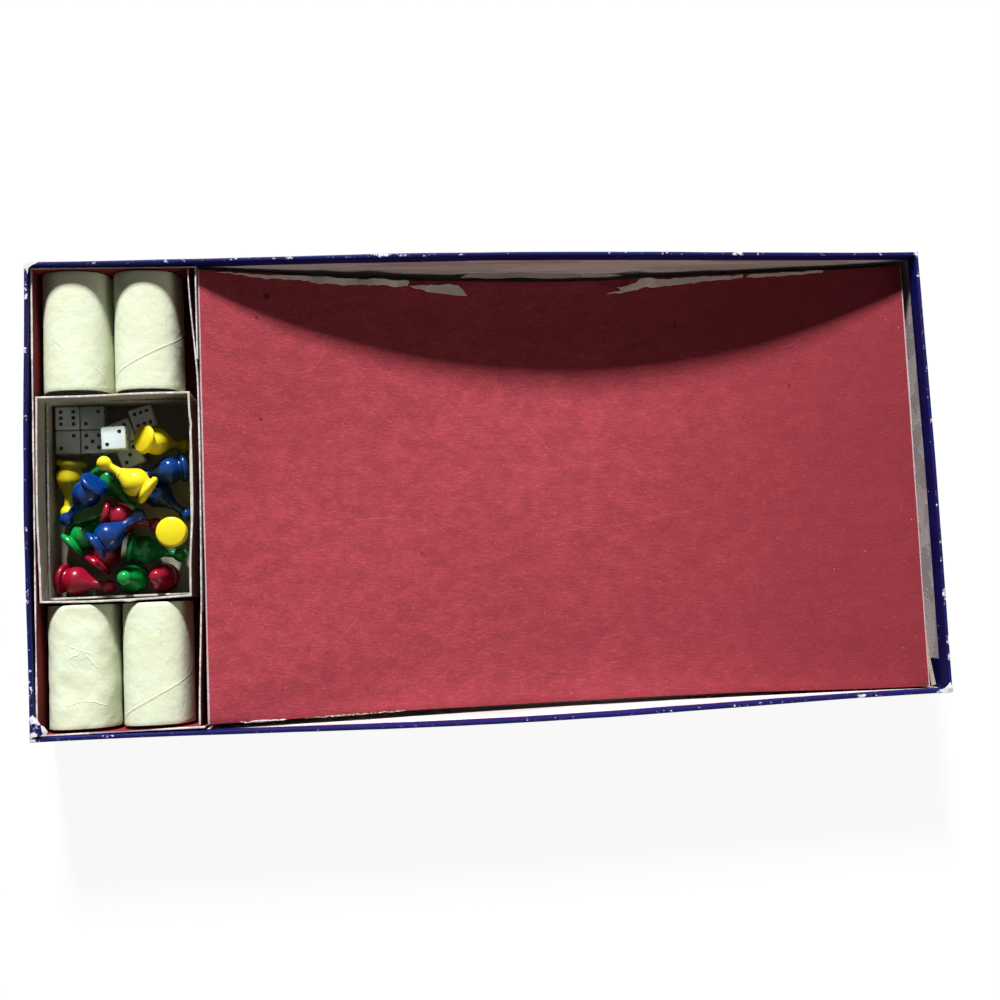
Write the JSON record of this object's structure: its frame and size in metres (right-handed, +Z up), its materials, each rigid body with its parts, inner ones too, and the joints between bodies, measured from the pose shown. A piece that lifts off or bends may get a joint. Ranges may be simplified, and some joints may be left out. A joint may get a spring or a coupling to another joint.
{
  "type": "pachisi game box",
  "caption": "Open storage box of a cross-and-circle race game with a sagged red platform, paper shaker cups, a small tray of turned pawns and dice.",
  "frame": {"origin": "centre of the bounding box's footprint, on the surface the box stands on", "axes": "+X along the box's length, to the right in the picture; +Y along its width, away from the viewer; +Z up"},
  "size_m": [0.489, 0.248, 0.0445],
  "materials": {
    "box_board": "matte grey-brown board",
    "blue_paper": "dark blue paper, worn white along the edges",
    "liner_card": "red faced thin card, grey back",
    "red_card": "brick red faced card, matte",
    "chipboard": "grey chipboard",
    "cream_paper": "cream rolled paper",
    "die_plastic": "ivory white, black pips",
    "yellow_plastic": "glossy",
    "blue_plastic": "glossy",
    "green_plastic": "glossy",
    "red_plastic": "glossy"
  },
  "bodies": {
    "storage_box": {"box_tray": "box_board", "corner_stay_1": "box_board", "corner_stay_2": "box_board", "corner_stay_3": "box_board", "corner_stay_4": "box_board", "box_wrap": "blue_paper"},
    "trough_liner": {"trough_liner": "liner_card"},
    "platform": {"platform": "red_card"},
    "pawn_box_cover": {"pawn_box_cover": "chipboard"},
    "pawn_box_tray": {"pawn_box_tray": "chipboard"},
    "cup_back_left": {"cup_back_left": "cream_paper", "cup_back_left_end": "cream_paper"},
    "cup_back_right": {"cup_back_right": "cream_paper", "cup_back_right_end": "cream_paper"},
    "cup_front_left": {"cup_front_left": "cream_paper", "cup_front_left_end": "cream_paper"},
    "cup_front_right": {"cup_front_right": "cream_paper", "cup_front_right_end": "cream_paper"},
    "die_1": {"die_1": "die_plastic"},
    "die_2": {"die_2": "die_plastic"},
    "die_3": {"die_3": "die_plastic"},
    "die_4": {"die_4": "die_plastic"},
    "die_6": {"die_6": "die_plastic"},
    "die_7": {"die_7": "die_plastic"},
    "die_8": {"die_8": "die_plastic"},
    "die_5": {"die_5": "die_plastic"},
    "yellow_pawn_2": {"yellow_pawn_2": "yellow_plastic"},
    "green_pawn_1": {"green_pawn_1": "green_plastic"},
    "blue_pawn_3": {"blue_pawn_3": "blue_plastic"},
    "blue_pawn_2": {"blue_pawn_2": "blue_plastic"},
    "green_pawn_2": {"green_pawn_2": "green_plastic"},
    "green_pawn_3": {"green_pawn_3": "green_plastic"},
    "red_pawn_4": {"red_pawn_4": "red_plastic"},
    "green_pawn_4": {"green_pawn_4": "green_plastic"},
    "red_pawn_2": {"red_pawn_2": "red_plastic"},
    "red_pawn_3": {"red_pawn_3": "red_plastic"},
    "blue_pawn_1": {"blue_pawn_1": "blue_plastic"},
    "red_pawn_1": {"red_pawn_1": "red_plastic"},
    "yellow_pawn_1": {"yellow_pawn_1": "yellow_plastic"},
    "yellow_pawn_3": {"yellow_pawn_3": "yellow_plastic"},
    "blue_pawn_4": {"blue_pawn_4": "blue_plastic"},
    "yellow_pawn_4": {"yellow_pawn_4": "yellow_plastic"}
  },
  "joints": [
    {"name": "platform_lift", "type": "slide", "parent": "storage_box", "child": "platform", "axis": [0, 0, 1], "range_m": [0, 0.06]},
    {"name": "liner_lift", "type": "slide", "parent": "storage_box", "child": "trough_liner", "axis": [0, 0, 1], "range_m": [0, 0.06]},
    {"name": "cup_back_left_lift", "type": "slide", "parent": "trough_liner", "child": "cup_back_left", "axis": [0, 0, 1], "range_m": [0, 0.06]},
    {"name": "cup_back_right_lift", "type": "slide", "parent": "trough_liner", "child": "cup_back_right", "axis": [0, 0, 1], "range_m": [0, 0.06]},
    {"name": "cup_front_left_lift", "type": "slide", "parent": "trough_liner", "child": "cup_front_left", "axis": [0, 0, 1], "range_m": [0, 0.06]},
    {"name": "cup_front_right_lift", "type": "slide", "parent": "trough_liner", "child": "cup_front_right", "axis": [0, 0, 1], "range_m": [0, 0.06]},
    {"name": "cover_lift", "type": "slide", "parent": "trough_liner", "child": "pawn_box_cover", "axis": [0, 0, 1], "range_m": [0, 0.06]},
    {"name": "tray_lift", "type": "slide", "parent": "pawn_box_cover", "child": "pawn_box_tray", "axis": [0, 0, 1], "range_m": [0, 0.04]},
    {"name": "die_1_lift", "type": "slide", "parent": "pawn_box_tray", "child": "die_1", "axis": [0, 0, 1], "range_m": [0, 0.05]},
    {"name": "die_2_lift", "type": "slide", "parent": "pawn_box_tray", "child": "die_2", "axis": [0, 0, 1], "range_m": [0, 0.05]},
    {"name": "die_3_lift", "type": "slide", "parent": "pawn_box_tray", "child": "die_3", "axis": [0, 0, 1], "range_m": [0, 0.05]},
    {"name": "die_4_lift", "type": "slide", "parent": "pawn_box_tray", "child": "die_4", "axis": [0, 0, 1], "range_m": [0, 0.05]},
    {"name": "die_6_lift", "type": "slide", "parent": "pawn_box_tray", "child": "die_6", "axis": [0, 0, 1], "range_m": [0, 0.05]},
    {"name": "die_7_lift", "type": "slide", "parent": "die_6", "child": "die_7", "axis": [0, 0, 1], "range_m": [0, 0.05]},
    {"name": "die_8_lift", "type": "slide", "parent": "die_7", "child": "die_8", "axis": [0, 0, 1], "range_m": [0, 0.05]},
    {"name": "die_5_lift", "type": "slide", "parent": "die_8", "child": "die_5", "axis": [0, 0, 1], "range_m": [0, 0.05]},
    {"name": "yellow_pawn_2_lift", "type": "slide", "parent": "die_8", "child": "yellow_pawn_2", "axis": [0, 0, 1], "range_m": [0, 0.05]},
    {"name": "green_pawn_1_lift", "type": "slide", "parent": "yellow_pawn_2", "child": "green_pawn_1", "axis": [0, 0, 1], "range_m": [0, 0.05]},
    {"name": "blue_pawn_3_lift", "type": "slide", "parent": "green_pawn_1", "child": "blue_pawn_3", "axis": [0, 0, 1], "range_m": [0, 0.05]},
    {"name": "blue_pawn_2_lift", "type": "slide", "parent": "blue_pawn_3", "child": "blue_pawn_2", "axis": [0, 0, 1], "range_m": [0, 0.05]},
    {"name": "green_pawn_2_lift", "type": "slide", "parent": "blue_pawn_3", "child": "green_pawn_2", "axis": [0, 0, 1], "range_m": [0, 0.05]},
    {"name": "green_pawn_3_lift", "type": "slide", "parent": "green_pawn_2", "child": "green_pawn_3", "axis": [0, 0, 1], "range_m": [0, 0.05]},
    {"name": "red_pawn_4_lift", "type": "slide", "parent": "pawn_box_tray", "child": "red_pawn_4", "axis": [0, 0, 1], "range_m": [0, 0.05]},
    {"name": "green_pawn_4_lift", "type": "slide", "parent": "pawn_box_tray", "child": "green_pawn_4", "axis": [0, 0, 1], "range_m": [0, 0.05]},
    {"name": "red_pawn_2_lift", "type": "slide", "parent": "green_pawn_4", "child": "red_pawn_2", "axis": [0, 0, 1], "range_m": [0, 0.05]},
    {"name": "red_pawn_3_lift", "type": "slide", "parent": "green_pawn_3", "child": "red_pawn_3", "axis": [0, 0, 1], "range_m": [0, 0.05]},
    {"name": "blue_pawn_1_lift", "type": "slide", "parent": "green_pawn_2", "child": "blue_pawn_1", "axis": [0, 0, 1], "range_m": [0, 0.05]},
    {"name": "red_pawn_1_lift", "type": "slide", "parent": "red_pawn_3", "child": "red_pawn_1", "axis": [0, 0, 1], "range_m": [0, 0.05]},
    {"name": "yellow_pawn_1_lift", "type": "slide", "parent": "die_8", "child": "yellow_pawn_1", "axis": [0, 0, 1], "range_m": [0, 0.05]},
    {"name": "yellow_pawn_3_lift", "type": "slide", "parent": "blue_pawn_2", "child": "yellow_pawn_3", "axis": [0, 0, 1], "range_m": [0, 0.05]},
    {"name": "blue_pawn_4_lift", "type": "slide", "parent": "red_pawn_1", "child": "blue_pawn_4", "axis": [0, 0, 1], "range_m": [0, 0.05]},
    {"name": "yellow_pawn_4_lift", "type": "slide", "parent": "red_pawn_1", "child": "yellow_pawn_4", "axis": [0, 0, 1], "range_m": [0, 0.05]}
  ]
}
